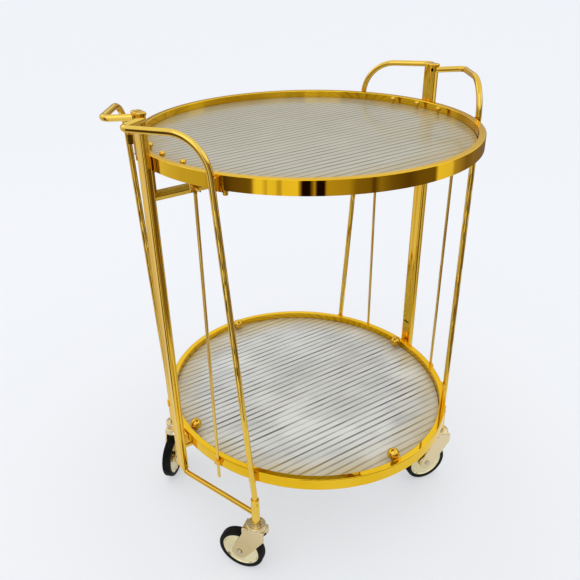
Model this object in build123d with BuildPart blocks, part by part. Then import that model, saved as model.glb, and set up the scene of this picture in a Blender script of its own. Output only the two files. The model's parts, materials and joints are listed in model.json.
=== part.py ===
from build123d import *
import math
import os

os.makedirs("parts", exist_ok=True)

# Two-tier tea trolley with nearly round glass trays, two flat posts, four bent tube legs and swivel casters.
# The origin is on the floor under the middle of the trays. +X runs along the cross bars to the right post,
# +Y away from the near side and +Z up. Lengths are in millimetres.

# Clearances shared by the fits
running_clearance = 0.05
press_clearance = 0.02
ring_clearance = 0.1
seat_gap = 0.3
overrun = 20.0

# Tray sizes
top_half_width = 211.0
top_half_depth = 225.0
bottom_tray_inset = 5.0
bottom_tray_rise = 41.0
tray_spacing = 396.0
rim_depth = 16.5
rim_sheet = 1.5
lip_width = 8.5
rim_edge_radius = 1.0
support_thickness = 2.0
ledge_width = 3.8

# Reeded glass
glass_thickness = 5.0
glass_edge_gap = 0.5
reed_pitch = 10.0
reed_depth = 1.2

# Knobs that hold the glass, with their nuts underneath
knob_inset = 8.2
knob_radius = 8.2
knob_neck_height = 3.2
knob_stem_radius = 2.5
small_knob_radius = 3.6
small_knob_neck_height = 4.0
small_knob_stem_radius = 1.6
small_knob_spread = 44.0
knob_nut_radius = 3.6
knob_nut_height = 1.8

# Posts
post_width = 20.0
post_thickness = 10.0
post_corner_radius = 3.0
post_wall = 1.2
post_rim_gap = 0.5
post_foot_rise = 8.0
post_head_rise = 4.2
post_hole_radius = 2.3
post_hole_side = 6.2
slot_length = 11.0
slot_height = 2.5
slot_rise = 33.0
cap_height = 3.6
cap_overhang = 1.0
cap_edge_radius = 1.5

# Cross bars
bar_width = 12.0
bar_height = 10.0
bar_wall = 1.0
bar_corner_radius = 2.0
upper_bar_drop = 27.0
lower_bar_drop = 3.2

# Brackets between the posts, the bars and the trays
bracket_width = 14.0
bracket_sheet = 2.5
bracket_reach = 16.0
bracket_rise = 12.0
bracket_round = 1.0

# Legs, each one tube that bends over at the top and returns to its post as a handle
leg_radius = 3.75
handle_rise = 40.5
handle_reach = 32.5
handle_corner_y = 28.8
handle_corner_radius = 8.0
handle_root_inset = 2.0
handle_bend_radius = 45.0
leg_top_y = 108.0
leg_bottom_y = 125.7
leg_top_gap = 3.4
leg_bottom_gap = 2.4
foot_bend_radius = 60.0
foot_bend_rise = 4.0

# Sleeves at the feet and the stays that tie them to the posts
sleeve_radius = 5.75
sleeve_height = 40.0
sleeve_edge_radius = 0.8
rivet_radius = 1.7
rivet_stand = 0.9
rivet_drop = 7.0
stay_rise = 13.0
stay_bend_radius = 7.6
stay_plug_depth = 30.0
stay_side_gap = 0.3

# Tie rods between the two rims
rod_radius = 2.0
rod_y = 76.5
rod_rim_gap = 0.5
rod_tail = 19.5
rod_tip_radius = 1.5
rod_eye_radius = 4.0
rod_eye_thickness = 2.0
rod_eye_drop = 5.5
rod_lug_width = 9.0
rod_lug_thickness = 2.0
rod_lug_drop = 10.0
rod_screw_radius = 1.5
rod_screw_tail = 12.0
rod_screw_point = 5.0
rod_screw_head_radius = 3.3
rod_screw_head_height = 2.0
guide_width = 9.0
guide_height = 7.0
guide_reach = 3.8
guide_drop = 8.0

# Saddles that hold the rims to the legs, and the lugs with cap nuts under the upper rim
clip_width = 9.0
clip_reach = 1.2
clip_height = 12.0
clip_edge_radius = 0.8
clip_lug_thickness = 2.2
clip_lug_width = 8.0
clip_nut_side = 8.5
clip_nut_radius = 2.9
clip_nut_height = 4.2

# Casters
wheel_radius = 33.5
tyre_width = 13.5
tyre_thickness = 6.4
tyre_corner_radius = 2.8
tread_groove_side = 2.3
tread_groove_width = 1.2
tread_groove_slope = 45.0
hub_face_half_width = 4.6
hub_bead_half_width = 6.0
hub_bead_width = 2.6
hub_boss_radius = 7.0
hub_slope = 3.0
axle_radius = 3.0
axle_nut_radius = 5.0
axle_nut_height = 3.5
axle_tail = 1.5
axle_head_radius = 4.4
axle_head_height = 2.8
caster_trail = 23.5
fork_sheet = 2.0
fork_side_gap = 1.5
fork_boss_radius = 11.5
fork_wheel_gap = 13.0
fork_crown_thickness = 3.0
fork_front = 14.0
fork_rear = 18.0
fork_front_drop = 15.0
fork_rear_drop = 13.0
fork_notch = 5.0
fork_notch_radius = 1.5
fork_edge_radius = 1.8
cup_radius = 13.5
cup_height = 7.0
cup_edge_radius = 2.0
cup_groove_inset = 2.5
cup_groove_width = 3.5
cup_groove_depth = 1.2
pin_radius = 3.0
pin_head_radius = 5.0
pin_head_height = 3.0
collar_radius = 6.5
collar_height = 5.0
plug_radius = 3.7
plug_length = 15.0
plug_gap = 2.0

# How much of a rivet head's height its rounding takes
head_dome_share = 0.8

# Directions in which the casters trail, in degrees from +X
near_left_heading = 125.0
near_right_heading = 168.0
far_left_heading = -135.0
far_right_heading = -150.0

# Heights and places worked out from the sizes above, from the floor up
bottom_half_width = top_half_width - bottom_tray_inset
bottom_half_depth = top_half_depth - bottom_tray_inset
crown_base = 2 * wheel_radius + fork_wheel_gap
fork_top = crown_base + fork_crown_thickness
cup_top = fork_top + cup_height
sleeve_bottom = cup_top + collar_height
sleeve_top = sleeve_bottom + sleeve_height
leg_end_height = sleeve_bottom + plug_length + plug_gap
stay_height = sleeve_bottom + stay_rise
foot_bend_height = sleeve_top + foot_bend_rise
bottom_rim_height = foot_bend_height + bottom_tray_rise
bottom_rim_base = bottom_rim_height - rim_depth
lower_bar_top = bottom_rim_base - lower_bar_drop
top_rim_height = bottom_rim_height + tray_spacing
top_rim_base = top_rim_height - rim_depth
upper_bar_top = top_rim_base - upper_bar_drop
handle_height = top_rim_height + handle_rise
post_bottom = stay_height + post_foot_rise
post_top = handle_height + post_head_rise
post_height = post_top - post_bottom
post_inner_x = top_half_width + post_rim_gap
post_x = post_inner_x + post_thickness / 2
stay_y = leg_radius + stay_side_gap
corners = {
    "near_left": (-1, -1, near_left_heading),
    "near_right": (1, -1, near_right_heading),
    "far_left": (-1, 1, far_left_heading),
    "far_right": (1, 1, far_right_heading),
}


def save(part, name):
    """Labels one finished piece and writes it under its name."""
    part.label = name
    export_step(part, f"parts/{name}.step")


def oval_x(half_width, half_depth, y):
    """X of the oval's edge at a given Y."""
    return half_width * math.sqrt(1 - (y / half_depth) ** 2)


def oval_normal(half_width, half_depth, x, y):
    """Unit vector that points straight out of the oval near a point."""
    return Vector(x / half_width**2, y / half_depth**2, 0).normalized()


def beside_oval(half_width, half_depth, y, distance, height):
    """Point at a distance outside the oval's edge, square to it."""
    edge = Vector(oval_x(half_width, half_depth, y), y, height)
    return edge + oval_normal(half_width, half_depth, edge.X, edge.Y) * distance


# Tray rims
# Each rim is a sheet channel bent to the oval, open underneath, with a flat lip and softened edges.
def tray_rim(half_width, half_depth, base):
    inner_width = half_width - lip_width
    inner_depth = half_depth - lip_width
    with BuildPart() as rim:
        with BuildSketch(Plane.XY.offset(base)):
            Ellipse(half_width, half_depth)
            Ellipse(inner_width, inner_depth, mode=Mode.SUBTRACT)
        extrude(amount=rim_depth)
        with BuildSketch(Plane.XY.offset(base)):
            Ellipse(half_width - rim_sheet, half_depth - rim_sheet)
            Ellipse(inner_width + rim_sheet, inner_depth + rim_sheet, mode=Mode.SUBTRACT)
        extrude(amount=rim_depth - rim_sheet, mode=Mode.SUBTRACT)
        with BuildSketch(Plane.XY.offset(base)):
            Ellipse(half_width - rim_sheet, half_depth - rim_sheet)
        extrude(amount=support_thickness + ring_clearance, mode=Mode.SUBTRACT)
        fillet(rim.faces().sort_by(Axis.Z)[-1].edges(), rim_edge_radius)
    return rim.part


# Support rings, flat rings in the rims that carry the glass on a narrow ledge.
def support_ring(half_width, half_depth, base):
    ledge = lip_width + ledge_width
    with BuildPart() as ring:
        with BuildSketch(Plane.XY.offset(base)):
            Ellipse(half_width - rim_sheet - ring_clearance, half_depth - rim_sheet - ring_clearance)
            Ellipse(half_width - ledge, half_depth - ledge, mode=Mode.SUBTRACT)
        extrude(amount=support_thickness)
    return ring.part


# Glass panes, smooth above and reeded below, with the reeds along the cross bars.
def reeded_glass(half_width, half_depth, base, stem_places, stem_radius):
    glass_half_width = half_width - lip_width - glass_edge_gap
    glass_half_depth = half_depth - lip_width - glass_edge_gap
    reed_radius = ((reed_pitch / 2) ** 2 + reed_depth**2) / (2 * reed_depth)
    reed_count = 2 * math.ceil(glass_half_depth / reed_pitch) + 1
    plate = glass_thickness - reed_depth
    section = Plane(origin=(-half_width, 0, base), x_dir=(0, 1, 0), z_dir=(1, 0, 0))
    with BuildPart() as pane:
        with BuildSketch(section):
            with Locations((0, reed_depth)):
                Rectangle(reed_count * reed_pitch, plate, align=(Align.CENTER, Align.MIN))
            with Locations((0, reed_radius)):
                with GridLocations(reed_pitch, 0, reed_count, 1):
                    Circle(reed_radius)
            with Locations((0, glass_thickness)):
                Rectangle((reed_count + 2) * reed_pitch, 2 * reed_radius, align=(Align.CENTER, Align.MIN), mode=Mode.SUBTRACT)
        extrude(amount=2 * half_width)
        with BuildSketch(Plane.XY.offset(base - overrun)):
            Ellipse(glass_half_width, glass_half_depth)
            with Locations(*stem_places):
                Circle(stem_radius + press_clearance, mode=Mode.SUBTRACT)
        extrude(amount=glass_thickness + 2 * overrun, mode=Mode.INTERSECT)
    return pane.part


knob_x = bottom_half_width - lip_width - knob_inset
knob_y = bottom_half_depth - lip_width - knob_inset
knob_places = [(-knob_x, 0), (knob_x, 0), (0, -knob_y), (0, knob_y)]
small_knob_places = []
for small_knob_y in (-small_knob_spread, 0, small_knob_spread):
    small_knob_x = oval_x(top_half_width - lip_width - knob_inset, top_half_depth - lip_width - knob_inset, small_knob_y)
    small_knob_places += [(-small_knob_x, small_knob_y), (small_knob_x, small_knob_y)]
top_glass_base = top_rim_base + support_thickness
bottom_glass_base = bottom_rim_base + support_thickness

save(tray_rim(top_half_width, top_half_depth, top_rim_base), "top_tray_rim")
save(support_ring(top_half_width, top_half_depth, top_rim_base), "top_tray_support_ring")
save(reeded_glass(top_half_width, top_half_depth, top_glass_base, small_knob_places, small_knob_stem_radius), "top_tray_glass")
save(tray_rim(bottom_half_width, bottom_half_depth, bottom_rim_base), "bottom_tray_rim")
save(support_ring(bottom_half_width, bottom_half_depth, bottom_rim_base), "bottom_tray_support_ring")
save(reeded_glass(bottom_half_width, bottom_half_depth, bottom_glass_base, knob_places, knob_stem_radius), "bottom_tray_glass")


# Glass knobs
# A ball stands on a neck that goes down through the glass to a flat nut.
def glass_knobs(places, base, ball, neck_height, stem):
    ball_height = neck_height + math.sqrt(ball**2 - stem**2)
    knobs = []
    for place in places:
        centre = (*place, base + glass_thickness)
        with BuildPart() as knob:
            with BuildSketch(Plane(origin=centre, x_dir=(1, 0, 0), z_dir=(0, -1, 0))):
                with Locations((0, ball_height)):
                    Circle(ball)
                Rectangle(2 * stem, ball_height, align=(Align.CENTER, Align.MIN))
                Rectangle(2 * stem, glass_thickness + knob_nut_height, align=(Align.CENTER, Align.MAX))
                with Locations((0, -glass_thickness)):
                    Rectangle(2 * knob_nut_radius, knob_nut_height, align=(Align.CENTER, Align.MAX))
                with Locations((0, -overrun)):
                    Rectangle(2 * overrun, 4 * overrun, align=(Align.MAX, Align.MIN), mode=Mode.SUBTRACT)
            revolve(axis=Axis(centre, (0, 0, 1)))
        knobs.append(knob.part)
    with BuildPart() as group:
        add(knobs)
    return group.part


save(
    glass_knobs(small_knob_places, top_glass_base, small_knob_radius, small_knob_neck_height, small_knob_stem_radius),
    "top_tray_knobs",
)
save(glass_knobs(knob_places, bottom_glass_base, knob_radius, knob_neck_height, knob_stem_radius), "bottom_tray_knobs")


# Posts
# Flat tubes with rounded corners. The two stays plug in below, a cap closes each top,
# and the inner face has a fixing hole at the height of the handles and a short slot above the lower tray.
def post_outline(width, thickness, radius):
    with BuildSketch() as outline:
        RectangleRounded(thickness, width, radius)
    return outline.sketch


post_outer = post_outline(post_width, post_thickness, post_corner_radius)
post_bore = post_outline(post_width - 2 * post_wall, post_thickness - 2 * post_wall, post_corner_radius - post_wall)
with BuildPart() as post:
    with BuildSketch(Plane.XY.offset(post_bottom)):
        with Locations((post_x, 0)):
            add(post_outer)
            add(post_bore, mode=Mode.SUBTRACT)
    extrude(amount=post_height)
    with BuildSketch(Plane.YZ.offset(post_x)):
        with Locations((-post_hole_side, handle_height)):
            Circle(post_hole_radius)
        with Locations((0, bottom_rim_height + slot_rise)):
            SlotOverall(slot_length, slot_height)
    extrude(amount=-post_thickness, mode=Mode.SUBTRACT)

with BuildPart() as cap:
    with BuildSketch(Plane.XY.offset(post_top)):
        with Locations((post_x, 0)):
            RectangleRounded(
                post_thickness + 2 * cap_overhang, post_width + 2 * cap_overhang, post_corner_radius + cap_overhang
            )
    extrude(amount=cap_height)
    fillet(cap.faces().sort_by(Axis.Z)[-1].edges(), cap_edge_radius)
save(post.part.rotate(Axis.Z, 180), "left_post")
save(cap.part.rotate(Axis.Z, 180), "left_post_cap")
save(post.part, "right_post")
save(cap.part, "right_post_cap")


# Cross bars
# Rectangular tubes that end against the inner faces of the posts.
def cross_bar(top):
    middle = top - bar_height / 2
    with BuildPart() as bar:
        with BuildSketch(Plane(origin=(-post_inner_x, 0, middle), x_dir=(0, 1, 0), z_dir=(1, 0, 0))):
            RectangleRounded(bar_width, bar_height, bar_corner_radius)
            RectangleRounded(
                bar_width - 2 * bar_wall, bar_height - 2 * bar_wall, bar_corner_radius - bar_wall, mode=Mode.SUBTRACT
            )
        extrude(amount=2 * post_inner_x)
    return bar.part


save(cross_bar(upper_bar_top), "upper_cross_bar")
save(cross_bar(lower_bar_top), "lower_cross_bar")

# Tray brackets
# The upper pair are angles that stand on the bar ends and carry the top tray. The lower pair are packers
# between bar and tray, turned up into the gap beside the post.
with BuildPart() as top_bracket:
    with BuildSketch(Plane.XZ):
        with BuildLine():
            Polyline(
                (post_inner_x, upper_bar_top),
                (post_inner_x, top_rim_base),
                (post_inner_x - bracket_reach, top_rim_base),
                (post_inner_x - bracket_reach, top_rim_base - bracket_sheet),
                (post_inner_x - bracket_sheet, top_rim_base - bracket_sheet),
                (post_inner_x - bracket_sheet, upper_bar_top),
                close=True,
            )
        make_face()
    extrude(amount=bracket_width / 2, both=True)
    inner_bend = top_bracket.edges().filter_by(Axis.Y).sort_by(lambda edge: (edge.center().X - post_inner_x + bracket_sheet) ** 2 + (edge.center().Z - top_rim_base + bracket_sheet) ** 2)[0]
    fillet(inner_bend, bracket_round)
with BuildPart() as top_tray_brackets:
    add(top_bracket.part)
    add(top_bracket.part.mirror(Plane.YZ))
save(top_tray_brackets.part, "top_tray_brackets")

packer_wall = bottom_half_width + seat_gap
with BuildPart() as bottom_bracket:
    with BuildSketch(Plane.XZ):
        with BuildLine():
            Polyline(
                (post_inner_x - bracket_reach, lower_bar_top),
                (post_inner_x, lower_bar_top),
                (post_inner_x, bottom_rim_base + bracket_rise),
                (packer_wall, bottom_rim_base + bracket_rise),
                (packer_wall, bottom_rim_base),
                (post_inner_x - bracket_reach, bottom_rim_base),
                close=True,
            )
        make_face()
    extrude(amount=bracket_width / 2, both=True)
    fillet(bottom_bracket.edges().filter_by(Axis.Y).group_by(Axis.Z)[-1], bracket_round)
with BuildPart() as bottom_tray_brackets:
    add(bottom_bracket.part)
    add(bottom_bracket.part.mirror(Plane.YZ))
save(bottom_tray_brackets.part, "bottom_tray_brackets")

# Legs
# One tube runs from the post out to a tight corner, back as the handle, over a wide bend and down to the foot.
leg_beside_top = beside_oval(
    top_half_width, top_half_depth, leg_top_y, leg_top_gap + leg_radius, top_rim_height - rim_depth / 2
)
leg_beside_bottom = beside_oval(
    bottom_half_width, bottom_half_depth, leg_bottom_y, leg_bottom_gap + leg_radius, bottom_rim_height - rim_depth / 2
)


def leg_point(height):
    """Point on the leg's straight run at a given height."""
    share = (height - leg_beside_bottom.Z) / (leg_beside_top.Z - leg_beside_bottom.Z)
    return leg_beside_bottom + (leg_beside_top - leg_beside_bottom) * share


leg_root = Vector(post_x, post_width / 2 - handle_root_inset, handle_height)
leg_corner = Vector(post_x + handle_reach, handle_corner_y, handle_height)
leg_head = leg_point(handle_height)
leg_ankle = leg_point(foot_bend_height)
foot_x = leg_ankle.X
foot_y = leg_ankle.Y
leg_foot = Vector(foot_x, foot_y, leg_end_height)
with BuildPart() as leg:
    with BuildLine() as leg_path:
        FilletPolyline(
            leg_root,
            leg_corner,
            leg_head,
            leg_ankle,
            leg_foot,
            radius=[handle_corner_radius, handle_bend_radius, foot_bend_radius],
        )
    with BuildSketch(Plane(origin=leg_path.line @ 0, z_dir=leg_path.line % 0)):
        Circle(leg_radius)
    sweep()
    with BuildSketch(Plane.XY.offset(post_bottom)):
        with Locations((post_x, 0)):
            add(post_outer)
    extrude(amount=post_height, mode=Mode.SUBTRACT)

# Stays
# A tube bends out of the foot of each post and ends against the sleeve of the leg.
stay_top = Vector(post_x, stay_y, post_bottom + stay_plug_depth)
stay_bend = Vector(post_x, stay_y, stay_height)
stay_end = Vector(foot_x, foot_y, stay_height)
with BuildPart() as stay:
    with BuildLine() as stay_path:
        FilletPolyline(stay_top, stay_bend, stay_end, radius=stay_bend_radius)
    with BuildSketch(Plane(origin=stay_path.line @ 0, z_dir=stay_path.line % 0)):
        Circle(leg_radius)
    sweep()
    with BuildSketch(Plane.XY.offset(sleeve_bottom)):
        with Locations((foot_x, foot_y)):
            Circle(sleeve_radius)
    extrude(amount=sleeve_height, mode=Mode.SUBTRACT)

# Sleeves and their rivets
with BuildPart() as sleeve:
    with BuildSketch(Plane.XY.offset(sleeve_bottom)):
        with Locations((foot_x, foot_y)):
            Circle(sleeve_radius)
            Circle(leg_radius + running_clearance, mode=Mode.SUBTRACT)
    extrude(amount=sleeve_height)
    fillet(sleeve.edges().group_by(Axis.Z)[-1].sort_by(SortBy.RADIUS)[-1], sleeve_edge_radius)
rivet_height = sleeve_top - rivet_drop
with BuildPart() as rivet:
    with BuildSketch(Plane(origin=(foot_x, foot_y, rivet_height), x_dir=(1, 0, 0), z_dir=(0, 1, 0))):
        Circle(rivet_radius)
    extrude(amount=sleeve_radius + rivet_stand)
    fillet(rivet.faces().sort_by(Axis.Y)[-1].edges(), rivet_stand / 2)
    with BuildSketch(Plane.XY.offset(sleeve_bottom)):
        with Locations((foot_x, foot_y)):
            Circle(sleeve_radius)
    extrude(amount=sleeve_height, mode=Mode.SUBTRACT)

# Tie rods
# Each hangs from a lug under the upper lip by a screw through its flattened eye,
# and runs down through a guide on the outside of the lower rim.
eye_height = top_rim_base - rod_eye_drop
guide_height_middle = bottom_rim_height - guide_drop
lip_middle = lip_width / 2
rod_top = Vector(oval_x(top_half_width - lip_middle, top_half_depth - lip_middle, rod_y), rod_y, eye_height)
rim_point = Vector(oval_x(bottom_half_width, bottom_half_depth, rod_y), rod_y, guide_height_middle)
rod_out = oval_normal(bottom_half_width, bottom_half_depth, rim_point.X, rim_point.Y)
rod_beside = rim_point + Vector((rod_radius + rod_rim_gap) / rod_out.X, 0, 0)
rod_up = (rod_top - rod_beside).normalized()
rod_tip = rod_beside - rod_up * (guide_height_middle - bottom_rim_base + rod_tail) / rod_up.Z
rod_line = Plane(origin=rod_tip, x_dir=(0, 1, 0), z_dir=rod_up)
rod_length = (top_rim_base - rod_lug_drop - seat_gap - rod_tip.Z) / rod_up.Z
eye_plane = Plane(origin=rod_top, x_dir=(1, 0, 0), z_dir=(0, 1, 0))
with BuildPart() as rod:
    with BuildSketch(rod_line):
        Circle(rod_radius)
    extrude(amount=rod_length)
    fillet(rod.edges().group_by(Axis.Z)[0], rod_tip_radius)
    with BuildSketch(eye_plane):
        Circle(rod_eye_radius)
        Rectangle(2 * rod_radius, rod_lug_drop + rod_radius - rod_eye_drop, align=(Align.CENTER, Align.MIN))
    extrude(amount=rod_eye_thickness / 2, both=True)
    with BuildSketch(eye_plane):
        Circle(rod_screw_radius + running_clearance)
    extrude(amount=overrun, both=True, mode=Mode.SUBTRACT)

lug_outer = rod_y - rod_eye_thickness / 2 - press_clearance
with BuildPart() as rod_lug:
    with BuildSketch(Plane(origin=(rod_top.X, lug_outer, top_rim_base), x_dir=(1, 0, 0), z_dir=(0, -1, 0))):
        Rectangle(rod_lug_width, rod_lug_drop, align=(Align.CENTER, Align.MAX))
        with Locations((0, -rod_eye_drop)):
            Circle(rod_screw_radius + running_clearance, mode=Mode.SUBTRACT)
    extrude(amount=rod_lug_thickness)
    fillet(rod_lug.edges().filter_by(Axis.Y).group_by(Axis.Z)[0], bracket_round)

screw_inner = lug_outer - rod_lug_thickness
eye_face = rod_y + rod_eye_thickness / 2
with BuildPart() as rod_screw:
    with BuildSketch(Plane(origin=(rod_top.X, screw_inner, eye_height), x_dir=(1, 0, 0), z_dir=(0, 1, 0))):
        Circle(rod_screw_radius)
    extrude(amount=eye_face - screw_inner + rod_screw_tail)
    chamfer(rod_screw.edges().group_by(Axis.Y)[-1], length=rod_screw_point, length2=rod_screw_radius / 2)
    with BuildSketch(Plane(origin=(rod_top.X, screw_inner, eye_height), x_dir=(1, 0, 0), z_dir=(0, -1, 0))):
        Circle(rod_screw_head_radius)
    extrude(amount=rod_screw_head_height)
    with BuildSketch(Plane(origin=(rod_top.X, eye_face, eye_height), x_dir=(1, 0, 0), z_dir=(0, 1, 0))):
        RegularPolygon(rod_screw_head_radius, 6)
    extrude(amount=rod_screw_head_height)

guide_plane = Plane(origin=rod_beside, x_dir=rod_out, z_dir=(0, 0, 1))
with BuildPart() as rod_guide:
    with BuildSketch(guide_plane):
        with Locations((guide_reach, 0)):
            Rectangle(2 * guide_reach + rod_rim_gap, guide_width, align=(Align.MAX, Align.CENTER))
    extrude(amount=guide_height / 2, both=True)
    fillet(rod_guide.edges().filter_by(Axis.Z).sort_by(lambda edge: edge.center().dot(rod_out))[-2:], guide_reach / 2)
    with BuildSketch(Plane.XY.offset(bottom_rim_base)):
        Ellipse(bottom_half_width, bottom_half_depth)
    extrude(amount=rim_depth, mode=Mode.SUBTRACT)
    with BuildSketch(rod_line):
        Circle(rod_radius + running_clearance)
    extrude(amount=rod_length, mode=Mode.SUBTRACT)


# Saddles
# Each fills the gap between a rim and a leg and is cut to both.
def leg_saddle(half_width, half_depth, rim_base, centre):
    outward = oval_normal(half_width, half_depth, centre.X, centre.Y)
    base = rim_base + (rim_depth - clip_height) / 2
    with BuildPart() as saddle:
        with BuildSketch(Plane(origin=(centre.X, centre.Y, base), x_dir=outward, z_dir=(0, 0, 1))):
            with Locations((clip_reach, 0)):
                Rectangle(2 * leg_radius + clip_width / 2, clip_width, align=(Align.MAX, Align.CENTER))
        extrude(amount=clip_height)
        fillet(saddle.edges().filter_by(Axis.Z).sort_by(lambda edge: edge.center().dot(outward))[-2:], clip_edge_radius)
        with BuildSketch(Plane.XY.offset(rim_base - overrun)):
            Ellipse(half_width, half_depth)
        extrude(amount=rim_depth + 2 * overrun, mode=Mode.SUBTRACT)
        with BuildSketch(Plane(origin=leg_path.line @ 0, z_dir=leg_path.line % 0)):
            Circle(leg_radius + running_clearance)
        sweep(path=leg_path.line, mode=Mode.SUBTRACT)
    return saddle.solids().sort_by(SortBy.VOLUME)[-1]


bottom_saddle = leg_saddle(bottom_half_width, bottom_half_depth, bottom_rim_base, leg_beside_bottom)
upper_saddle = leg_saddle(top_half_width, top_half_depth, top_rim_base, leg_beside_top)

# Lugs with cap nuts
# A small plate under the upper rim reaches beside each leg and ends in a domed nut.
lug_edge = leg_beside_top - oval_normal(top_half_width, top_half_depth, leg_beside_top.X, leg_beside_top.Y) * (
    leg_top_gap + leg_radius
)
lug_out = oval_normal(top_half_width, top_half_depth, lug_edge.X, lug_edge.Y)
lug_plane = Plane(origin=(lug_edge.X, lug_edge.Y, top_rim_base), x_dir=lug_out, z_dir=(0, 0, -1))
lug_side = -1 if lug_plane.y_dir.Y < 0 else 1
with BuildPart() as cap_nut_lug:
    with BuildSketch(lug_plane):
        with Locations((0, lug_side * clip_nut_side / 2)):
            Rectangle(clip_lug_width, clip_nut_side + 2 * clip_nut_radius, align=(Align.MAX, Align.CENTER))
    extrude(amount=clip_lug_thickness)
    fillet(cap_nut_lug.edges().filter_by(Axis.Z), bracket_round)
    with BuildSketch(lug_plane.offset(clip_lug_thickness)):
        with Locations((-clip_nut_radius - bracket_round, lug_side * clip_nut_side)):
            Circle(clip_nut_radius)
    extrude(amount=clip_nut_height)
    fillet(cap_nut_lug.edges().group_by(Axis.Z)[0], clip_nut_radius / 2)


def placed(part, side_x, side_y):
    """Copy of a piece of the far right corner, turned over to another corner."""
    if side_x < 0:
        part = part.mirror(Plane.YZ)
    if side_y < 0:
        part = part.mirror(Plane.XZ)
    return part


groups = {
    "sleeve_rivets": rivet.part,
    "tie_rod_lugs": rod_lug.part,
    "tie_rod_screws": rod_screw.part,
    "tie_rod_guides": rod_guide.part,
    "top_leg_saddles": upper_saddle,
    "bottom_leg_saddles": bottom_saddle,
    "top_cap_nut_lugs": cap_nut_lug.part,
}
for name, piece in groups.items():
    copies = [placed(piece, side_x, side_y) for side_x, side_y, heading in corners.values()]
    with BuildPart() as group:
        add(copies)
    save(group.part, name)

for corner, (side_x, side_y, heading) in corners.items():
    save(placed(leg.part, side_x, side_y), f"{corner}_leg")
    save(placed(stay.part, side_x, side_y), f"{corner}_stay")
    save(placed(sleeve.part, side_x, side_y), f"{corner}_sleeve")
    save(placed(rod.part, side_x, side_y), f"{corner}_tie_rod")

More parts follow.
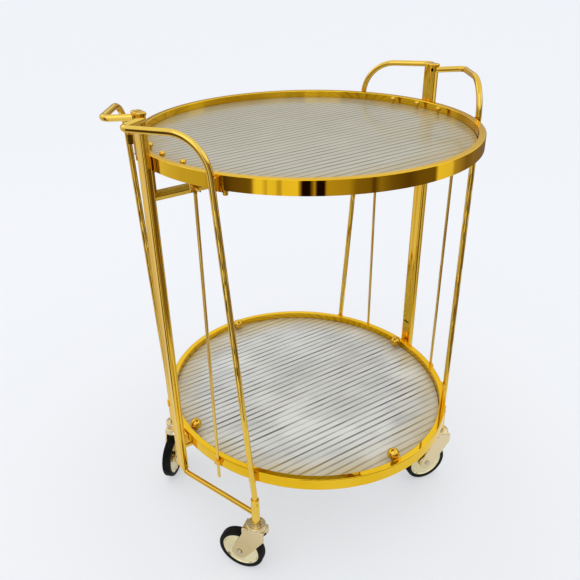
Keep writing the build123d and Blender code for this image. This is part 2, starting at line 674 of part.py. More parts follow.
# Casters
# A fixed stem plugs into the sleeve, and its pin carries the fork with its bearing cup. The wheel, a dished
# hub in a thick tyre, turns on an axle behind the swivel line.
fork_inner = tyre_width / 2 + fork_side_gap
fork_outer = fork_inner + fork_sheet
hub_radius = wheel_radius - tyre_thickness
boss_half_width = fork_inner - seat_gap
swivel_axis = Axis((0, 0, 0), (0, 0, 1))
for corner, (side_x, side_y, heading) in corners.items():
    along = (math.cos(math.radians(heading)), math.sin(math.radians(heading)), 0)
    swivel = Plane(origin=(side_x * foot_x, side_y * foot_y, 0), x_dir=along, z_dir=(0, 0, 1))
    upright = Plane(origin=swivel.origin, x_dir=swivel.x_dir, z_dir=-swivel.y_dir)
    hub_centre = swivel.from_local_coords((caster_trail, 0, wheel_radius))
    axial = Plane(origin=hub_centre, x_dir=swivel.y_dir, z_dir=swivel.x_dir)

    with BuildPart() as stem:
        with BuildSketch(upright):
            with BuildLine():
                Polyline(
                    (0, crown_base - seat_gap - pin_head_height),
                    (pin_head_radius, crown_base - seat_gap - pin_head_height),
                    (pin_head_radius, crown_base - seat_gap),
                    (pin_radius, crown_base - seat_gap),
                    (pin_radius, cup_top + seat_gap),
                    (collar_radius, cup_top + seat_gap),
                    (collar_radius, sleeve_bottom),
                    (plug_radius, sleeve_bottom),
                    (plug_radius, sleeve_bottom + plug_length),
                    (0, sleeve_bottom + plug_length),
                    close=True,
                )
            make_face()
        revolve(axis=Axis(swivel.origin, (0, 0, 1)))
    save(stem.part, f"{corner}_caster_stem")

    with BuildPart() as fork:
        with BuildSketch(upright.offset(-fork_outer)) as arm_outline:
            with Locations((caster_trail, wheel_radius)):
                Circle(fork_boss_radius)
            with BuildLine():
                Polyline(
                    (-fork_front, fork_top),
                    (fork_rear - fork_notch, fork_top),
                    (fork_rear - fork_notch, fork_top - fork_rear_drop),
                    (-fork_front, fork_top - fork_front_drop),
                    close=True,
                )
            make_face()
            make_hull()
            with Locations((-fork_front, fork_top)):
                Rectangle(fork_front + fork_rear, fork_rear_drop, align=(Align.MIN, Align.MAX))
            notch = arm_outline.vertices().filter_by(
                lambda corner_point: abs(corner_point.Y - fork_top + fork_rear_drop) < seat_gap
            ).sort_by(Axis.X)
            fillet(notch[-2:], fork_notch_radius)
        extrude(amount=2 * fork_outer)
        with BuildSketch(upright.offset(-fork_inner)):
            with Locations((0, crown_base)):
                Rectangle(4 * wheel_radius, 4 * wheel_radius, align=(Align.CENTER, Align.MAX))
        extrude(amount=2 * fork_inner, mode=Mode.SUBTRACT)
        fillet(fork.faces().sort_by(Axis.Z)[-1].edges(), fork_edge_radius)
        with BuildSketch(upright) as cup_section:
            with Locations((0, fork_top)):
                Rectangle(cup_radius, cup_height, align=(Align.MIN, Align.MIN))
            fillet(cup_section.vertices().group_by(Axis.Y)[-1].sort_by(Axis.X)[-1], cup_edge_radius)
            with Locations((cup_radius - cup_groove_inset, cup_top)):
                Rectangle(cup_groove_width, cup_groove_depth, align=(Align.MAX, Align.MAX), mode=Mode.SUBTRACT)
        revolve(axis=Axis(swivel.origin, (0, 0, 1)))
        with BuildSketch(Plane.XY.offset(crown_base - overrun)):
            with Locations(swivel.origin):
                Circle(pin_radius + running_clearance)
        extrude(amount=overrun + fork_crown_thickness + cup_height, mode=Mode.SUBTRACT)
        with BuildSketch(upright.offset(-fork_outer)):
            with Locations((caster_trail, wheel_radius)):
                Circle(axle_radius + press_clearance)
        extrude(amount=2 * fork_outer, mode=Mode.SUBTRACT)
    save(fork.part, f"{corner}_fork")

    with BuildPart() as axle:
        with BuildSketch(upright.offset(-fork_outer)):
            with Locations((caster_trail, wheel_radius)):
                Circle(axle_radius)
        extrude(amount=2 * fork_outer + axle_nut_height + axle_tail)
        with BuildSketch(upright.offset(fork_outer)):
            with Locations((caster_trail, wheel_radius)):
                RegularPolygon(axle_nut_radius, 6)
        extrude(amount=axle_nut_height)
        with BuildSketch(upright.offset(-fork_outer)):
            with Locations((caster_trail, wheel_radius)):
                Circle(axle_head_radius)
        extrude(amount=-axle_head_height)
        fillet(axle.faces().sort_by(Axis(hub_centre, swivel.y_dir))[-1].edges(), axle_head_height * head_dome_share)
    save(axle.part, f"{corner}_axle")

    with BuildPart() as hub:
        with BuildSketch(axial):
            with BuildLine():
                Polyline(
                    (boss_half_width, axle_radius + running_clearance),
                    (boss_half_width, hub_boss_radius),
                    (hub_face_half_width, hub_boss_radius + hub_slope),
                    (hub_face_half_width, hub_radius - hub_bead_width),
                    (hub_bead_half_width, hub_radius - hub_bead_width / 2),
                    (hub_bead_half_width, hub_radius),
                    (-hub_bead_half_width, hub_radius),
                    (-hub_bead_half_width, hub_radius - hub_bead_width / 2),
                    (-hub_face_half_width, hub_radius - hub_bead_width),
                    (-hub_face_half_width, hub_boss_radius + hub_slope),
                    (-boss_half_width, hub_boss_radius),
                    (-boss_half_width, axle_radius + running_clearance),
                    close=True,
                )
            make_face()
        revolve(axis=Axis(hub_centre, swivel.y_dir))
    save(hub.part, f"{corner}_wheel_hub")

    with BuildPart() as tyre:
        with BuildSketch(axial) as tyre_section:
            with Locations((0, hub_radius + press_clearance)):
                Rectangle(tyre_width, tyre_thickness - press_clearance, align=(Align.CENTER, Align.MIN))
            fillet(tyre_section.vertices().group_by(Axis.Y)[-1], tyre_corner_radius)
            with Locations((-tread_groove_side, wheel_radius), (tread_groove_side, wheel_radius)):
                Triangle(
                    a=tread_groove_width,
                    B=tread_groove_slope,
                    C=tread_groove_slope,
                    rotation=180,
                    align=(Align.CENTER, Align.MIN),
                    mode=Mode.SUBTRACT,
                )
        revolve(axis=Axis(hub_centre, swivel.y_dir))
    save(tyre.part, f"{corner}_tyre")
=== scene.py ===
import json
import math

import bpy
from mathutils import Matrix, Vector


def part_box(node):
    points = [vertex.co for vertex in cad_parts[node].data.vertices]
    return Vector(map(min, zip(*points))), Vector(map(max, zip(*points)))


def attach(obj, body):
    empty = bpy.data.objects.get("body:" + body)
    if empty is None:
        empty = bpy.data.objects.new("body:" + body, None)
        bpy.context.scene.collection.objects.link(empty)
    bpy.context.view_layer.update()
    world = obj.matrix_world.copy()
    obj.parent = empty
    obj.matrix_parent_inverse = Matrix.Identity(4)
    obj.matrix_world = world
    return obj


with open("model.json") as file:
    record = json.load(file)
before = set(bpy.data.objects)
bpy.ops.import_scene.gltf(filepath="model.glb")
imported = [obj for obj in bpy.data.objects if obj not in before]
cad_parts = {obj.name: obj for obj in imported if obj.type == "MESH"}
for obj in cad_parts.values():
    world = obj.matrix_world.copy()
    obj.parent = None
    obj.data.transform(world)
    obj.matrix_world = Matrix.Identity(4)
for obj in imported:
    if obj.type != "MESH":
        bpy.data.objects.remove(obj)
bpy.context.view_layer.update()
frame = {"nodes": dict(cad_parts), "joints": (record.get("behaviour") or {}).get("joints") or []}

nodes = frame["nodes"]
scene = bpy.context.scene
scene.view_settings.view_transform = "Standard"

# ------------------------------------------------------------------------------------------------
# The studio: a plain pale floor in a pale room. Polished metal sees the room's bright panels and
# the dark gaps between them, as it would in a photographer's tent with its front left open.
# ------------------------------------------------------------------------------------------------
floor_half = 16.0
floor_colour = (0.875, 0.895, 0.935, 1.0)
floor_roughness = 0.95
floor_glow = 0.45
bright_floor_reach = (0.46, 0.60)
black = (0.0, 0.0, 0.0, 1.0)
room_light = (1.0, 1.0, 1.0, 1.0)
room_colour = (0.862, 0.888, 0.930, 1.0)
ceiling_colour = (0.95, 0.95, 0.95, 1.0)
ceiling_start = (0.20, 0.35)
darkest_wall = 0.16
warmth = (("Green", 1.18), ("Blue", 1.35))

# How bright the room looks in polished metal: degrees round from +X, and the level in that direction.
far_side = -14
near_stops = (
    (-180, 0.05), (-174, 0.12), (-162, 0.17), (-160, 0.92), (-155, 0.95), (-154, 0.45), (-152, 0.90),
    (-147, 0.85), (-145.5, 0.30), (-144, 0.90), (-134.5, 0.95), (-133, 0.01), (-127, 0.01),
    (-125.5, 0.62), (-124, 0.01), (-119.5, 0.01), (-118, 0.52), (-105, 0.44), (-101, 0.24),
    (-92, 0.20), (-90, 0.08), (-86, 0.28), (-78, 0.16), (-66, 0.10), (-59, 0.16), (-46, 0.17),
    (-44, 0.92), (-31, 0.85), (-28, 0.45), (far_side, 0.20),
)
far_floor_stops = (
    (far_side, 0.20), (-4, 0.24), (28, 0.18), (46, 0.24), (60, 0.50), (96, 0.30), (102, 0.85),
    (128, 0.75), (150, 0.58), (168, 0.55), (176, 0.10), (180, 0.05),
)
far_wall_stops = (
    (far_side, 0.35), (-4, 0.50), (20, 0.50), (34, 0.52), (47, 0.52), (58, 0.50), (68, 0.42),
    (80, 0.45), (84, 0.20), (96, 0.15), (102, 0.85), (128, 0.75), (150, 0.58), (168, 0.55),
    (176, 0.10), (180, 0.05),
)


def feed(tree, node, inputs):
    """Gives inputs of a node their values, or links them to the sockets that drive them."""
    for name, value in inputs.items():
        if isinstance(value, bpy.types.NodeSocket):
            tree.links.new(value, node.inputs[name])
        else:
            node.inputs[name].default_value = value


def add(tree, kind, inputs=None, **settings):
    """Adds a node with its settings and inputs, and returns its outputs."""
    node = tree.nodes.new(kind)
    for setting, value in settings.items():
        setattr(node, setting, value)
    feed(tree, node, inputs or {})
    return node.outputs


def calc(tree, operation, *values):
    return add(tree, "ShaderNodeMath", dict(enumerate(values)), operation=operation)["Value"]


def mixed(tree, factor, first, second):
    inputs = {"Factor": factor, "A": first, "B": second}
    return add(tree, "ShaderNodeMix", inputs, data_type="RGBA")["Result"]


def ranged(tree, value, start, end=(0.0, 1.0), interpolation="LINEAR"):
    """Maps a value from the range start to the range end, and holds it within that."""
    inputs = {
        "Value": value, "From Min": start[0], "From Max": start[1], "To Min": end[0], "To Max": end[1],
    }
    return add(tree, "ShaderNodeMapRange", inputs, interpolation_type=interpolation)["Result"]


def ramped(tree, value, stops):
    """The colour at a value, from stops of position and colour."""
    ramp = tree.nodes.new("ShaderNodeValToRGB")
    elements = ramp.color_ramp.elements
    for index in (0, -1):
        elements[index].position, elements[index].color = stops[index]
    for position, colour in stops[1:-1]:
        elements.new(position).color = colour
    feed(tree, ramp, {"Fac": value})
    return ramp.outputs["Color"]


def turn_share(degrees):
    return (degrees + 180.0) / 360.0


def panels(tree, direction, far_stops, darkest):
    """The room's colour for a direction or a floor point, by its turn about +Z: the darker, the warmer."""
    axes = add(tree, "ShaderNodeSeparateXYZ", {"Vector": direction})
    share = ranged(tree, calc(tree, "ARCTAN2", axes["Y"], axes["X"]), (-math.pi, math.pi))
    near, far = (
        ramped(tree, share, [(turn_share(degrees), (level,) * 3 + (1.0,)) for degrees, level in stops])
        for stops in (near_stops, far_stops)
    )
    is_far = calc(tree, "GREATER_THAN", share, turn_share(far_side))
    tone = calc(tree, "MAXIMUM", mixed(tree, is_far, near, far), darkest)
    channels = {channel: calc(tree, "POWER", tone, power) for channel, power in warmth}
    return add(tree, "ShaderNodeCombineColor", {"Red": tone, **channels})["Color"]


floor_mesh = bpy.data.meshes.new("studio_floor")
floor_mesh.from_pydata(
    [(x * floor_half, y * floor_half, 0) for x, y in ((-1, -1), (1, -1), (1, 1), (-1, 1))],
    [],
    [(0, 1, 2, 3)],
)
floor = bpy.data.objects.new("studio_floor", floor_mesh)
scene.collection.objects.link(floor)
floor_paint = bpy.data.materials.new("studio_floor_paint")
floor_paint.use_nodes = True
floor_tree = floor_paint.node_tree
floor_place = add(floor_tree, "ShaderNodeTexCoord")["Object"]
floor_distance = add(floor_tree, "ShaderNodeVectorMath", {0: floor_place}, operation="LENGTH")["Value"]
floor_mirrored = add(floor_tree, "ShaderNodeLightPath")["Is Glossy Ray"]
floor_tone = mixed(
    floor_tree,
    calc(floor_tree, "MULTIPLY", ranged(floor_tree, floor_distance, bright_floor_reach), floor_mirrored),
    floor_colour,
    panels(floor_tree, floor_place, far_floor_stops, 0.0),
)
feed(floor_tree, floor_tree.nodes["Principled BSDF"], {
    "Base Color": mixed(floor_tree, floor_glow, floor_tone, black),
    "Roughness": floor_roughness,
    "Specular IOR Level": 0.0,
    "Emission Color": floor_tone,
    "Emission Strength": floor_glow,
})
floor_mesh.materials.append(floor_paint)

room = bpy.data.worlds.new("pale_room")
scene.world = room
room.use_nodes = True
room_tree = room.node_tree
room_tree.nodes.clear()
room_way = add(room_tree, "ShaderNodeTexCoord")["Generated"]
room_ray = add(room_tree, "ShaderNodeLightPath")
room_height = add(room_tree, "ShaderNodeSeparateXYZ", {"Vector": room_way})["Z"]
room_tone = mixed(
    room_tree,
    ranged(room_tree, room_height, ceiling_start, interpolation="SMOOTHSTEP"),
    panels(room_tree, room_way, far_wall_stops, darkest_wall),
    ceiling_colour,
)
lit, mirrored, seen = (
    add(room_tree, "ShaderNodeBackground", {"Color": colour})["Background"]
    for colour in (room_light, room_tone, room_colour)
)
lit_or_mirrored = add(room_tree, "ShaderNodeMixShader", {0: room_ray["Is Glossy Ray"], 1: lit, 2: mirrored})
seen_through = calc(room_tree, "MAXIMUM", room_ray["Is Camera Ray"], room_ray["Is Transmission Ray"])
room_surface = add(room_tree, "ShaderNodeMixShader", {0: seen_through, 1: lit_or_mirrored["Shader"], 2: seen})
add(room_tree, "ShaderNodeOutputWorld", {"Surface": room_surface["Shader"]})

lamp_target = Vector((0, 0, 0.4))
for lamp_name, lamp_place, lamp_size, lamp_power in (
    ("key_lamp", (-1.3, -0.9, 2.2), 1.6, 4.0),
    ("fill_lamp", (1.7, -1.2, 1.7), 1.1, 1.6),
    ("back_lamp", (-0.8, 1.9, 1.9), 1.2, 2.0),
):
    lamp = bpy.data.lights.new(lamp_name, "AREA")
    lamp.shape = "SQUARE"
    lamp.size = lamp_size
    lamp.energy = lamp_power
    stand = bpy.data.objects.new(lamp_name, lamp)
    stand.location = lamp_place
    stand.rotation_euler = (lamp_target - Vector(lamp_place)).to_track_quat("-Z", "Y").to_euler()
    scene.collection.objects.link(stand)

# The camera stands where the photograph was taken from, to the near left and above the upper tray.
eye_place = (-0.4694, -0.6615, 0.7718)
pitch, yaw, roll = 0.513, 0.529, -0.046
eye = bpy.data.cameras.new("eye")
eye.sensor_width = 36.0
eye.lens = 39.409
eye.shift_x = 0.06062
eye.shift_y = 0.02717
eye.clip_start = 0.01
forward = Vector((math.sin(yaw) * math.cos(pitch), math.cos(yaw) * math.cos(pitch), -math.sin(pitch)))
level = Vector((math.cos(yaw), -math.sin(yaw), 0.0))
rise = level.cross(forward)
right = level * math.cos(roll) + rise * math.sin(roll)
up = rise * math.cos(roll) - level * math.sin(roll)
view = bpy.data.objects.new("eye", eye)
view.matrix_world = Matrix.Translation(eye_place) @ Matrix((right, up, -forward)).transposed().to_4x4()
scene.collection.objects.link(view)
scene.camera = view

# ------------------------------------------------------------------------------------------------
# Tray rims: two nearly round channels rolled from steel strip, with a lip over the glass, and a
# flat ring inside each that carries the glass. Buffed to a mirror and plated a clear yellow gold.
# ------------------------------------------------------------------------------------------------
rim_colours = ((0.88, 0.56, 0.028, 1.0), (0.81, 0.48, 0.012, 1.0))
edge_tint = (0.99, 0.93, 0.78, 1.0)
tone_scale, tone_detail, tone_span = 7.0, 3.0, (0.35, 0.62)
haze_scale, haze_detail, haze_span = 45.0, 5.0, (0.35, 0.7)
line_depth, line_detail = 0.0002, 2.0
wave_radians = 20.0      # what a wave texture turns through in one metre, at a scale of 1


def finish(name):
    """A new material, its tree, its shader and the Object coordinates."""
    material = bpy.data.materials.new(name)
    material.use_nodes = True
    tree = material.node_tree
    return material, tree, tree.nodes["Principled BSDF"], add(tree, "ShaderNodeTexCoord")["Object"]


def noise(tree, place, scale, detail):
    return add(tree, "ShaderNodeTexNoise", {"Vector": place, "Scale": scale, "Detail": detail})["Fac"]


def stretched(tree, place, scale, detail):
    """Noise drawn out along an axis: the scale has one number for each axis."""
    drawn_out = add(tree, "ShaderNodeMapping", {"Vector": place, "Scale": scale})["Vector"]
    return noise(tree, drawn_out, 1.0, detail)


def relief(tree, height, inputs):
    return add(tree, "ShaderNodeBump", {"Height": height, **inputs})["Normal"]


def plated(
    name, colours, polish, buffing, strength, draw=None, draw_depth=0.0, straight_to=None, crown=None
):
    """Plated metal: colour that deepens in soft patches, haze that varies, and fine lines from buffing.

    Colours are the paler and the deeper one, polish the least and the most roughness, and buffing the
    scale of the lines along each axis. Drawn tube also has the long shallow waves of the die, which
    break a reflection into streaks and can fade out over a range of height. A crown swells the upright
    faces: (middle, height, rise).
    """
    material, tree, shader, place = finish(name)
    paler, deeper = colours
    base = {}
    if crown:
        middle, height, crown_rise = crown
        swell = add(tree, "ShaderNodeTexWave", {
            "Vector": place,
            "Scale": math.tau / (wave_radians * height),
            "Phase Offset": math.pi - math.tau * middle / height,
        }, bands_direction="Z")["Fac"]
        base = {"Normal": relief(tree, swell, {"Distance": crown_rise})}
    if draw:
        waves = {"Distance": draw_depth, **base}
        if straight_to:
            up_tube = add(tree, "ShaderNodeSeparateXYZ", {"Vector": place})["Z"]
            waves["Strength"] = ranged(tree, up_tube, straight_to, (1.0, 0.0))
        base = {"Normal": relief(tree, stretched(tree, place, draw, 1.0), waves)}
    tone = noise(tree, place, tone_scale, tone_detail)
    haze = noise(tree, place, haze_scale, haze_detail)
    lines = {"Strength": strength, "Distance": line_depth, **base}
    feed(tree, shader, {
        "Base Color": ramped(tree, tone, ((tone_span[0], deeper), (tone_span[1], paler))),
        "Roughness": ranged(tree, haze, haze_span, polish),
        "Normal": relief(tree, stretched(tree, place, buffing, line_detail), lines),
        "Metallic": 1.0,
        "Specular Tint": edge_tint,
    })
    return material


def dress(material, *names):
    """Gives CAD nodes a finish in place of their plain one."""
    for name in names:
        slots = nodes[name].data.materials
        if not slots:
            slots.append(material)
        for index in range(len(slots)):
            slots[index] = material


rolled_gold = plated(
    "rolled_rim_gold", rim_colours, polish=(0.018, 0.045), buffing=(12.0, 12.0, 700.0), strength=0.025
)
dress(rolled_gold, "top_tray_rim", "bottom_tray_rim", "top_tray_support_ring", "bottom_tray_support_ring")

# ------------------------------------------------------------------------------------------------
# Tray glass: float glass, smooth on top and pressed into round reeds below, which run along the
# cross bars. On each reed a painted highlight and a painted shade line beside it stand in for how the
# reed refracts what lies under the tray.
# ------------------------------------------------------------------------------------------------
reed_pitch = 0.010
reed_waver = (14.0, 70.0, 14.0)
reed_wander = 0.25
waver_span = (0.34, 0.66)
# How much brighter than the pale tone each reed's painted highlight is.
painted_glint_share = 1.18
cloud_scale, cloud_detail, cloud_span = 11.0, 2.0, (0.38, 0.62)
# How far in from the edge the glass is painted with a reflection of the gold rim, and how strongly.
rim_reflection_reach = (0.150, 0.208)
rim_reflection_share = (0.0, 1.1)
glass_index = 1.3
glass_body = 0.25
glass_coat = 0.5
glass_coat_haze = 0.12


def reeded_glass(name, pale, grey, painted_shade_line, painted_rim_reflection, haze, line_strength):
    """Reeded glass: a painted shade line and a painted highlight beside it on each reed, which stand in for
    the reed's refraction and come and go along the tray, in a body painted with a gold reflection of the rim
    near its edge."""
    material, tree, shader, place = finish(name)
    waver = stretched(tree, place, reed_waver, 3.0)
    across = add(tree, "ShaderNodeSeparateXYZ", {"Vector": place})["Y"]
    straight_reeds = calc(tree, "MULTIPLY", across, 1.0 / reed_pitch)
    reeds = calc(tree, "MULTIPLY_ADD", waver, reed_wander, straight_reeds)
    painted_glint = tuple(min(1.0, painted_glint_share * part) for part in pale[:3]) + (1.0,)
    # Each reed's stripe: pale, grey, a painted shade line and a painted highlight, standing in for its
    # refraction.
    painted_reed_stripes = ramped(tree, calc(tree, "FRACT", reeds), (
        (0.0, pale), (0.18, pale), (0.32, grey), (0.44, painted_shade_line), (0.60, painted_shade_line), (0.68, painted_glint), (0.80, painted_glint),
        (0.90, grey), (1.0, pale),
    ))
    clouds = noise(tree, place, cloud_scale, cloud_detail)
    body = ramped(tree, clouds, ((cloud_span[0], grey), (cloud_span[1], pale)))
    painted_lines_over_body = mixed(tree, ranged(tree, waver, waver_span, line_strength), body, painted_reed_stripes)
    # A painted reflection of the gold rim, over the glass near its edge.
    flat = add(tree, "ShaderNodeMapping", {"Vector": place, "Scale": (1.0, 1.0, 0.0)})["Vector"]
    radius = add(tree, "ShaderNodeVectorMath", {0: flat}, operation="LENGTH")["Value"]
    rim_reflection_mask = ranged(tree, radius, rim_reflection_reach, rim_reflection_share, "SMOOTHSTEP")
    feed(tree, shader, {
        "Base Color": mixed(tree, calc(tree, "MULTIPLY", rim_reflection_mask, waver), painted_lines_over_body, painted_rim_reflection),
        "Roughness": haze,
        "IOR": glass_index,
        "Transmission Weight": glass_body,
        "Coat Weight": glass_coat,
        "Coat Roughness": glass_coat_haze,
    })
    return material


# Each glass: its pale and grey tones, the painted shade line of its reeds, the painted reflection of its rim,
# its haze, and how strongly the painted lines show.
upper_glass = reeded_glass(
    "upper_reeded_glass", pale=(0.60, 0.58, 0.47, 1.0), grey=(0.42, 0.41, 0.31, 1.0),
    painted_shade_line=(0.13, 0.125, 0.08, 1.0), painted_rim_reflection=(0.50, 0.34, 0.06, 1.0), haze=0.4,
    line_strength=(0.55, 1.0),
)
lower_glass = reeded_glass(
    "lower_reeded_glass", pale=(0.95, 0.96, 0.94, 1.0), grey=(0.58, 0.59, 0.57, 1.0),
    painted_shade_line=(0.04, 0.04, 0.03, 1.0), painted_rim_reflection=(0.66, 0.50, 0.16, 1.0), haze=0.3,
    line_strength=(0.25, 1.0),
)
dress(upper_glass, "top_tray_glass")
dress(lower_glass, "bottom_tray_glass")

# ------------------------------------------------------------------------------------------------
# Knobs: turned brass balls on short necks, screwed through the glass near its edge, four on the
# lower tray and three at each end of the upper one. Polished and plated like the frame.
# ------------------------------------------------------------------------------------------------
knob_colours = ((0.84, 0.53, 0.07, 1.0), (0.70, 0.40, 0.03, 1.0))
turned_gold = plated(
    "turned_knob_gold", knob_colours, polish=(0.03, 0.07), buffing=(60.0, 60.0, 1600.0), strength=0.03
)
dress(turned_gold, "top_tray_knobs", "bottom_tray_knobs")

# ------------------------------------------------------------------------------------------------
# Posts and cross bars: flat and square steel tubes with rounded corners, drawn lengthwise, buffed
# and plated. Each post is closed by a pressed cap, and pressed brackets carry the trays.
# ------------------------------------------------------------------------------------------------
post_colours = ((0.87, 0.57, 0.075, 1.0), (0.78, 0.48, 0.04, 1.0))
bar_colours = ((0.86, 0.56, 0.07, 1.0), (0.76, 0.46, 0.04, 1.0))
bar_crown = 0.0022
bracket_colours = ((0.82, 0.51, 0.07, 1.0), (0.72, 0.42, 0.035, 1.0))

post_gold = plated(
    "drawn_post_gold", post_colours, polish=(0.03, 0.06), buffing=(420.0, 420.0, 3.0), strength=0.03,
    draw=(190.0, 190.0, 1.5), draw_depth=0.0013,
)
pressed_gold = plated(
    "pressed_bracket_gold", bracket_colours, polish=(0.08, 0.16), buffing=(90.0, 90.0, 90.0), strength=0.05
)
dress(post_gold, "left_post", "right_post", "left_post_cap", "right_post_cap")
dress(pressed_gold, "top_tray_brackets", "bottom_tray_brackets")
for bar in ("upper_cross_bar", "lower_cross_bar"):
    bar_low, bar_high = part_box(bar)
    bar_gold = plated(
        f"{bar}_gold", bar_colours, polish=(0.03, 0.07), buffing=(3.0, 420.0, 420.0), strength=0.03,
        draw=(1.5, 170.0, 170.0), draw_depth=0.0009,
        crown=((bar_low[2] + bar_high[2]) / 2, bar_high[2] - bar_low[2], bar_crown),
    )
    dress(bar_gold, bar)

# ------------------------------------------------------------------------------------------------
# Legs, stays and sleeves: round steel tubes, bent cold. Each leg runs up from its foot, turns over
# and comes back to the post as a handle. The stays are brazed to the sleeves, which a rivet holds.
# ------------------------------------------------------------------------------------------------
corners = ("near_left", "near_right", "far_left", "far_right")
tube_colours = ((0.87, 0.60, 0.11, 1.0), (0.79, 0.52, 0.07, 1.0))
stay_colours = ((0.85, 0.54, 0.08, 1.0), (0.76, 0.46, 0.045, 1.0))
handle_start = (0.53, 0.56)

tube_gold = plated(
    "bent_tube_gold", tube_colours, polish=(0.025, 0.055), buffing=(500.0, 500.0, 4.0), strength=0.03,
    draw=(330.0, 330.0, 2.5), draw_depth=0.0010, straight_to=handle_start,
)
stay_gold = plated(
    "stay_tube_gold", stay_colours, polish=(0.045, 0.09), buffing=(250.0, 60.0, 250.0), strength=0.03
)
for corner in corners:
    dress(tube_gold, f"{corner}_leg", f"{corner}_sleeve")
    dress(stay_gold, f"{corner}_stay")
dress(turned_gold, "sleeve_rivets")

# ------------------------------------------------------------------------------------------------
# Tie rods: thin drawn rods that hang from lugs under the upper rim and pass through guides on the
# lower one. A pointed screw with a coarse rolled thread goes through each flattened eye.
# ------------------------------------------------------------------------------------------------
rod_colours = ((0.84, 0.60, 0.16, 1.0), (0.72, 0.49, 0.10, 1.0))
screw_thread_radius = 0.00150
screw_thread_pitch = 0.0011
screw_thread_ridge = 0.00022
screw_thread_start = 0.0098
screw_thread_length = 0.0046
screw_half_head = 0.0033
thread_turn_points = 14
thread_ridge_sides = 5

rod_gold = plated(
    "drawn_rod_gold", rod_colours, polish=(0.04, 0.08), buffing=(600.0, 600.0, 6.0), strength=0.03,
    draw=(500.0, 500.0, 9.0), draw_depth=0.0006,
)
for corner in corners:
    dress(rod_gold, f"{corner}_tie_rod")
dress(pressed_gold, "tie_rod_lugs", "tie_rod_guides")
dress(turned_gold, "tie_rod_screws")

# The node tree winds one thread along each edge of the mesh that it is given, from its first point.
thread_tree = bpy.data.node_groups.new("rolled_thread", "GeometryNodeTree")
thread_tree.is_modifier = True
thread_sockets = {
    label: thread_tree.interface.new_socket(label, in_out="INPUT", socket_type=kind).identifier
    for label, kind in (
        ("Geometry", "NodeSocketGeometry"),
        ("Thread radius", "NodeSocketFloat"),
        ("Pitch", "NodeSocketFloat"),
        ("Length", "NodeSocketFloat"),
        ("Ridge", "NodeSocketFloat"),
        ("Finish", "NodeSocketMaterial"),
    )
}
thread_tree.interface.new_socket("Geometry", in_out="OUTPUT", socket_type="NodeSocketGeometry")
given = add(thread_tree, "NodeGroupInput")
edges = add(thread_tree, "GeometryNodeMeshToCurve", {"Mesh": given["Geometry"]})["Curve"]
first = add(thread_tree, "GeometryNodeCurveEndpointSelection", {"Start Size": 1, "End Size": 0})["Selection"]
along = add(thread_tree, "GeometryNodeInputTangent")["Tangent"]
aim = add(thread_tree, "FunctionNodeAlignRotationToVector", {"Vector": along}, axis="Z")["Rotation"]
helix = add(thread_tree, "GeometryNodeCurveSpiral", {
    "Resolution": thread_turn_points,
    "Rotations": calc(thread_tree, "DIVIDE", given["Length"], given["Pitch"]),
    "Start Radius": given["Thread radius"],
    "End Radius": given["Thread radius"],
    "Height": given["Length"],
})["Curve"]
section = add(thread_tree, "GeometryNodeCurvePrimitiveCircle", {
    "Resolution": thread_ridge_sides, "Radius": given["Ridge"],
})["Curve"]
ridge = add(thread_tree, "GeometryNodeCurveToMesh", {
    "Curve": helix, "Profile Curve": section, "Fill Caps": True,
})["Mesh"]
wound = add(thread_tree, "GeometryNodeInstanceOnPoints", {
    "Points": edges, "Selection": first, "Instance": ridge, "Rotation": aim,
})["Instances"]
real = add(thread_tree, "GeometryNodeRealizeInstances", {"Geometry": wound})["Geometry"]
finished = add(thread_tree, "GeometryNodeSetMaterial", {
    "Geometry": real, "Material": given["Finish"],
})["Geometry"]
add(thread_tree, "NodeGroupOutput", {"Geometry": finished})


def threaded(name, points, radius, pitch, length, thread_ridge, metal):
    """Winds a thread along each pair of points, and keeps what the tree makes as one plain mesh object."""
    mesh = bpy.data.meshes.new(f"{name}_places")
    mesh.from_pydata(points, [(index, index + 1) for index in range(0, len(points), 2)], [])
    seed = bpy.data.objects.new(f"{name}_seed", mesh)
    scene.collection.objects.link(seed)
    modifier = seed.modifiers.new("thread", "NODES")
    modifier.node_group = thread_tree
    values = {
        "Thread radius": radius, "Pitch": pitch, "Length": length, "Ridge": thread_ridge, "Finish": metal,
    }
    for label, value in values.items():
        modifier[thread_sockets[label]] = value
    bpy.context.view_layer.update()
    made = bpy.data.meshes.new_from_object(seed.evaluated_get(bpy.context.evaluated_depsgraph_get()))
    made.name = name
    bpy.data.objects.remove(seed)
    piece = bpy.data.objects.new(name, made)
    scene.collection.objects.link(piece)
    return piece


screw_low, screw_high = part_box("tie_rod_screws")
screw_x = screw_high[0] - screw_half_head
screw_z = (screw_low[2] + screw_high[2]) / 2
screw_threads = threaded(
    "tie_rod_screw_threads",
    [
        (side_x * screw_x, side_y * (screw_high[1] - away), screw_z)
        for side_x in (-1, 1)
        for side_y in (-1, 1)
        for away in (screw_thread_start, screw_thread_start - screw_thread_length)
    ],
    screw_thread_radius, screw_thread_pitch, screw_thread_length, screw_thread_ridge, turned_gold,
)
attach(screw_threads, "frame")

# ------------------------------------------------------------------------------------------------
# Saddles and cap nuts: small pressed pieces brazed between the rims and the legs. Beside each upper
# saddle a lug under the rim ends in a domed nut.
# ------------------------------------------------------------------------------------------------
dress(pressed_gold, "top_leg_saddles", "bottom_leg_saddles")
dress(turned_gold, "top_cap_nut_lugs")

# ------------------------------------------------------------------------------------------------
# Caster forks, stems and axles: forks and bearing cups pressed from sheet and plated a pale champagne
# gold, swivelling on plated steel stems that are held in the sleeves. The axle bolts are threaded.
# ------------------------------------------------------------------------------------------------
fork_colours = ((0.81, 0.68, 0.42, 1.0), (0.64, 0.51, 0.28, 1.0))
stem_colours = ((0.66, 0.60, 0.46, 1.0), (0.55, 0.49, 0.36, 1.0))
axle_thread_radius = 0.0030
axle_thread_pitch = 0.0006
axle_thread_ridge = 0.00018
axle_thread_span = (-0.01385, -0.01510)

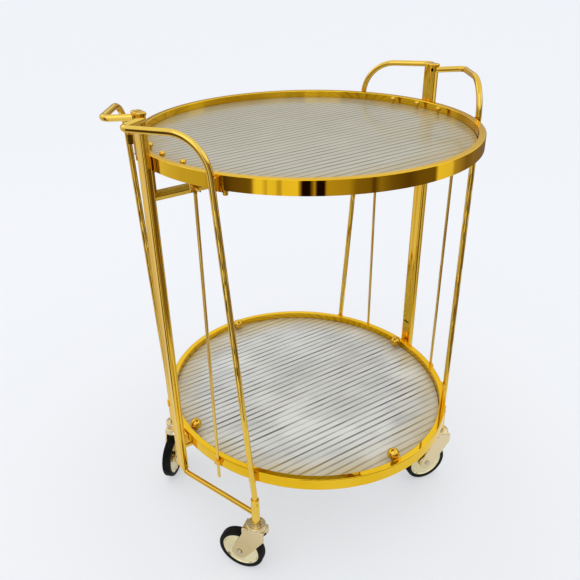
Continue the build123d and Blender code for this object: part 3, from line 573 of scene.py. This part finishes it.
fork_gold = plated(
    "pressed_fork_gold", fork_colours, polish=(0.03, 0.08), buffing=(120.0, 120.0, 120.0), strength=0.06,
    draw=(70.0, 70.0, 70.0), draw_depth=0.0013,
)
zinc = plated(
    "plated_stem_steel", stem_colours, polish=(0.14, 0.24), buffing=(30.0, 30.0, 1800.0), strength=0.05
)
joints = {joint["name"]: joint for joint in frame["joints"]}
for corner in corners:
    dress(fork_gold, f"{corner}_fork")
    dress(zinc, f"{corner}_caster_stem", f"{corner}_axle")
    spin = joints[f"{corner}_wheel_spin"]
    axle_thread = threaded(
        f"{corner}_axle_thread",
        [tuple(Vector(spin["pos_m"]) + Vector(spin["axis"]) * reach) for reach in axle_thread_span],
        axle_thread_radius, axle_thread_pitch, axle_thread_span[0] - axle_thread_span[1],
        axle_thread_ridge, zinc,
    )
    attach(axle_thread, f"{corner}_caster")

# ------------------------------------------------------------------------------------------------
# Wheels: turned champagne hubs with a raised bead, each in a solid black rubber tyre. Fine rings
# from the lathe show on the hub faces, and moulding lines run round the rubber.
# ------------------------------------------------------------------------------------------------
hub_colours = ((0.86, 0.78, 0.49, 1.0), (0.74, 0.65, 0.38, 1.0))
hub_haze = (0.05, 0.10)
rubber_colours = ((0.012, 0.011, 0.010, 1.0), (0.003, 0.003, 0.003, 1.0))
rubber_haze = (0.5, 0.65)
rubber_shine = 0.08
ring_bend, ring_detail = 0.4, 2.0
patch_detail = 4.0
patch_tone_span, patch_haze_span = (0.35, 0.68), (0.35, 0.7)


def turned_about(name, spin, ring_scale, ring_strength, colours, patch_scale, haze, inputs):
    """A finish with fine rings round an axle: the pattern is centred on the hub and turned with it."""
    material, tree, shader, place = finish(name)
    paler, deeper = colours
    heading = math.atan2(-spin["axis"][0], spin["axis"][1])
    local = add(tree, "ShaderNodeMapping", {
        "Vector": place, "Location": spin["pos_m"], "Rotation": (0.0, 0.0, heading),
    }, vector_type="TEXTURE")["Vector"]
    rings = add(tree, "ShaderNodeTexWave", {
        "Vector": local, "Scale": ring_scale, "Distortion": ring_bend, "Detail": ring_detail,
    }, wave_type="RINGS", rings_direction="Y")["Fac"]
    patches = noise(tree, local, patch_scale, patch_detail)
    feed(tree, shader, {
        "Base Color": ramped(tree, patches, ((patch_tone_span[0], deeper), (patch_tone_span[1], paler))),
        "Roughness": ranged(tree, patches, patch_haze_span, haze),
        "Normal": relief(tree, rings, {"Strength": ring_strength, "Distance": line_depth}),
        **inputs,
    })
    return material


for corner in corners:
    spin = joints[f"{corner}_wheel_spin"]
    hub = turned_about(
        f"{corner}_turned_hub", spin, ring_scale=260.0, ring_strength=0.10, colours=hub_colours,
        patch_scale=30.0, haze=hub_haze, inputs={"Metallic": 1.0},
    )
    rubber = turned_about(
        f"{corner}_rubber", spin, ring_scale=330.0, ring_strength=0.25, colours=rubber_colours,
        patch_scale=70.0, haze=rubber_haze, inputs={"Metallic": 0.0, "Specular IOR Level": rubber_shine},
    )
    dress(hub, f"{corner}_wheel_hub")
    dress(rubber, f"{corner}_tyre")
